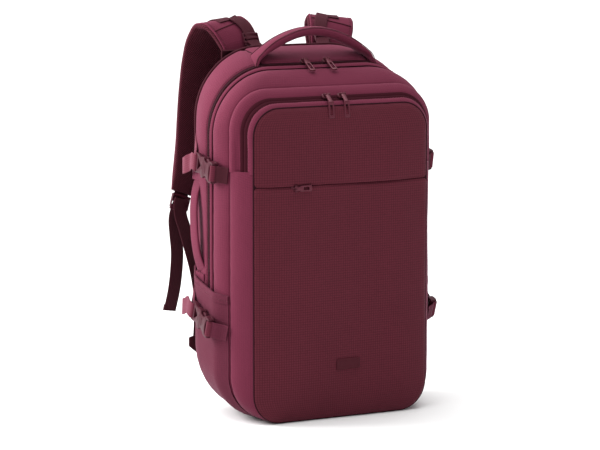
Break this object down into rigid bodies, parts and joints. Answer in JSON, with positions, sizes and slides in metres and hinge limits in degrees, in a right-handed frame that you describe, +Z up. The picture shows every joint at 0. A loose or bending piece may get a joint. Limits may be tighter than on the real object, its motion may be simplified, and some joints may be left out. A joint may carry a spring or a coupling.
{
  "type": "travel backpack",
  "caption": "upright cabin backpack with a leaning front, a front pocket, side pockets, compression straps, grab handles and padded shoulder straps",
  "frame": {"origin": "centre of the flat base, at the floor, midway between the front face and the back panel", "axes": "+X to the viewer's right facing the front, the front faces -Y, +Z up"},
  "size_m": [0.3888, 0.2611, 0.5917],
  "materials": {
    "ripstop": "dark red ripstop weave, satin",
    "gusset": "dusty red plain weave, matte",
    "lining": "grey plain lining, matte",
    "base": "dark red coated heavy weave, matte",
    "mesh": "dark red spacer mesh, matte",
    "webbing": "dark red woven webbing",
    "ziptape": "dark red coil zip and tape",
    "hardware": "dusty mauve moulded acetal, satin",
    "slider": "dusty mauve painted die casting",
    "pull": "moulded rubber, dusty red",
    "sheet": "black polyethylene sheet"
  },
  "bodies": {
    "root": {"back_panel": "base", "back_pads": "mesh", "frame_sheet": "sheet", "laptop_sleeve": "lining", "rear_gusset": "gusset", "lower_gusset": "gusset", "base_panel": "base", "front_wall_lower": "lining", "pocket_gusset_lower": "gusset", "front_panel_lower": "ripstop", "side_pocket_left": "gusset", "side_pocket_right": "gusset", "main_zip_rear_tape": "ziptape", "lower_buckle_sockets": "hardware", "lower_buckle_plugs": "hardware", "lower_strap_webbing": "webbing", "strap_anchors": "webbing", "lid_fold": "ripstop", "upper_strap_spans": "webbing", "strap_webbing_left": "webbing", "strap_webbing_right": "webbing"},
    "lid": {"lid_gusset": "gusset", "front_wall_upper": "lining", "pocket_gusset_upper": "gusset", "front_panel_mid": "ripstop", "pocket_zip_tape": "ziptape", "main_zip_front_tape": "ziptape", "front_zip_rear_tape": "ziptape", "upper_buckle_sockets": "hardware", "upper_buckle_plugs": "hardware", "upper_strap_stubs": "webbing"},
    "front_flap": {"upper_front_panel": "ripstop", "flap_gusset": "gusset", "front_zip_front_tape": "ziptape"},
    "top_handle": {"top_handle": "ripstop"},
    "side_handle": {"side_handle": "ripstop"},
    "main_slider_left": {"main_slider_left": "slider"},
    "main_pull_left": {"main_pull_left": "pull"},
    "main_slider_right": {"main_slider_right": "slider"},
    "main_pull_right": {"main_pull_right": "pull"},
    "front_slider_left": {"front_slider_left": "slider"},
    "front_pull_left": {"front_pull_left": "pull"},
    "front_slider_right": {"front_slider_right": "slider"},
    "front_pull_right": {"front_pull_right": "pull"},
    "pocket_slider": {"pocket_slider": "slider"},
    "pocket_pull": {"pocket_pull": "pull"},
    "upper_left_arm_bottom": {"upper_left_arm_bottom": "hardware"},
    "upper_left_arm_top": {"upper_left_arm_top": "hardware"},
    "upper_right_arm_bottom": {"upper_right_arm_bottom": "hardware"},
    "upper_right_arm_top": {"upper_right_arm_top": "hardware"},
    "lower_left_arm_bottom": {"lower_left_arm_bottom": "hardware"},
    "lower_left_arm_top": {"lower_left_arm_top": "hardware"},
    "lower_right_arm_bottom": {"lower_right_arm_bottom": "hardware"},
    "lower_right_arm_top": {"lower_right_arm_top": "hardware"},
    "strap_left": {"shoulder_strap_left": "mesh", "load_lifter_left": "webbing"},
    "lock_left": {"strap_lock_left": "hardware"},
    "strap_right": {"shoulder_strap_right": "mesh", "load_lifter_right": "webbing"},
    "lock_right": {"strap_lock_right": "hardware"}
  },
  "joints": [
    {"name": "lid_open", "type": "hinge", "parent": "root", "child": "lid", "pos_m": [0, -0.02, 0.198], "axis": [1, 0, 0], "range_deg": [0, 30], "deforming": ["lid_fold", "upper_strap_spans"]},
    {"name": "front_flap_open", "type": "hinge", "parent": "lid", "child": "front_flap", "pos_m": [0, -0.093, 0.358], "axis": [1, 0, 0], "range_deg": [0, 70]},
    {"name": "top_handle_tilt", "type": "hinge", "parent": "root", "child": "top_handle", "pos_m": [0.006, 0.015, 0.5395], "axis": [1, 0, 0], "range_deg": [-48, 60]},
    {"name": "side_handle_swing", "type": "hinge", "parent": "root", "child": "side_handle", "pos_m": [-0.1714, 0.034, 0.284], "axis": [0.0293, 0.165, 0.9859], "range_deg": [-25, 25]},
    {"name": "main_zip_left", "type": "slide", "parent": "lid", "child": "main_slider_left", "axis": [1, 0, 0], "range_m": [-0.052, 0]},
    {"name": "main_pull_swing_left", "type": "hinge", "parent": "main_slider_left", "child": "main_pull_left", "pos_m": [-0.017, -0.00788, 0.53072], "axis": [1, 0, 0], "range_deg": [-110, 0]},
    {"name": "main_zip_right", "type": "slide", "parent": "lid", "child": "main_slider_right", "axis": [1, 0, 0], "range_m": [0, 0.049]},
    {"name": "main_pull_swing_right", "type": "hinge", "parent": "main_slider_right", "child": "main_pull_right", "pos_m": [0.02, -0.00788, 0.53072], "axis": [1, 0, 0], "range_deg": [-110, 0]},
    {"name": "front_zip_left", "type": "slide", "parent": "front_flap", "child": "front_slider_left", "axis": [1, 0, 0], "range_m": [-0.08, 0]},
    {"name": "front_pull_swing_left", "type": "hinge", "parent": "front_slider_left", "child": "front_pull_left", "pos_m": [-0.019, -0.08118, 0.48423], "axis": [1, 0, 0], "range_deg": [-120, 0]},
    {"name": "front_zip_right", "type": "slide", "parent": "front_flap", "child": "front_slider_right", "axis": [1, 0, 0], "range_m": [0, 0.092]},
    {"name": "front_pull_swing_right", "type": "hinge", "parent": "front_slider_right", "child": "front_pull_right", "pos_m": [0.007, -0.08118, 0.48423], "axis": [1, 0, 0], "range_deg": [-120, 0]},
    {"name": "pocket_zip", "type": "slide", "parent": "lid", "child": "pocket_slider", "axis": [1, 0, 0], "range_m": [-0.048, 0.212]},
    {"name": "pocket_pull_swing", "type": "hinge", "parent": "pocket_slider", "child": "pocket_pull", "pos_m": [-0.082, -0.099, 0.35], "axis": [0, 0, 1], "range_deg": [-110, 0]},
    {"name": "upper_left_release_bottom", "type": "hinge", "parent": "lid", "child": "upper_left_arm_bottom", "pos_m": [-0.1824, -0.00213, 0.36829], "axis": [-1, 0, 0], "range_deg": [0, 7], "stiffness_Nm_per_rad": 0.05},
    {"name": "upper_left_release_top", "type": "hinge", "parent": "lid", "child": "upper_left_arm_top", "pos_m": [-0.1824, -0.00583, 0.38733], "axis": [1, 0, 0], "range_deg": [0, 7], "stiffness_Nm_per_rad": 0.05},
    {"name": "upper_right_release_bottom", "type": "hinge", "parent": "lid", "child": "upper_right_arm_bottom", "pos_m": [0.1824, -0.00213, 0.36829], "axis": [-1, 0, 0], "range_deg": [0, 7], "stiffness_Nm_per_rad": 0.05},
    {"name": "upper_right_release_top", "type": "hinge", "parent": "lid", "child": "upper_right_arm_top", "pos_m": [0.1824, -0.00583, 0.38733], "axis": [1, 0, 0], "range_deg": [0, 7], "stiffness_Nm_per_rad": 0.05},
    {"name": "lower_left_release_bottom", "type": "hinge", "parent": "root", "child": "lower_left_arm_bottom", "pos_m": [-0.1894, -0.00062, 0.14354], "axis": [-1, 0, 0], "range_deg": [0, 7], "stiffness_Nm_per_rad": 0.05},
    {"name": "lower_left_release_top", "type": "hinge", "parent": "root", "child": "lower_left_arm_top", "pos_m": [-0.1894, -0.00726, 0.16177], "axis": [1, 0, 0], "range_deg": [0, 7], "stiffness_Nm_per_rad": 0.05},
    {"name": "lower_right_release_bottom", "type": "hinge", "parent": "root", "child": "lower_right_arm_bottom", "pos_m": [0.1894, -0.00062, 0.14354], "axis": [-1, 0, 0], "range_deg": [0, 7], "stiffness_Nm_per_rad": 0.05},
    {"name": "lower_right_release_top", "type": "hinge", "parent": "root", "child": "lower_right_arm_top", "pos_m": [0.1894, -0.00726, 0.16177], "axis": [1, 0, 0], "range_deg": [0, 7], "stiffness_Nm_per_rad": 0.05},
    {"name": "strap_swing_left", "type": "hinge", "parent": "root", "child": "strap_left", "pos_m": [-0.075, 0.079, 0.535], "axis": [1, 0, 0], "range_deg": [-5, 30], "deforming": ["strap_webbing_left"]},
    {"name": "strap_lock_tilt_left", "type": "hinge", "parent": "strap_left", "child": "lock_left", "pos_m": [-0.1566, 0.1313, 0.3173], "axis": [0.9461, 0, -0.324], "range_deg": [-10, 40]},
    {"name": "strap_swing_right", "type": "hinge", "parent": "root", "child": "strap_right", "pos_m": [0.075, 0.079, 0.535], "axis": [1, 0, 0], "range_deg": [-5, 30], "deforming": ["strap_webbing_right"]},
    {"name": "strap_lock_tilt_right", "type": "hinge", "parent": "strap_right", "child": "lock_right", "pos_m": [0.1566, 0.1313, 0.3173], "axis": [0.9461, 0, 0.324], "range_deg": [-10, 40]}
  ],
  "couplings": [
    {"joint": "upper_left_release_top", "follows": "upper_left_release_bottom", "ratio": 1},
    {"joint": "upper_right_release_top", "follows": "upper_right_release_bottom", "ratio": 1},
    {"joint": "lower_left_release_top", "follows": "lower_left_release_bottom", "ratio": 1},
    {"joint": "lower_right_release_top", "follows": "lower_right_release_bottom", "ratio": 1}
  ]
}
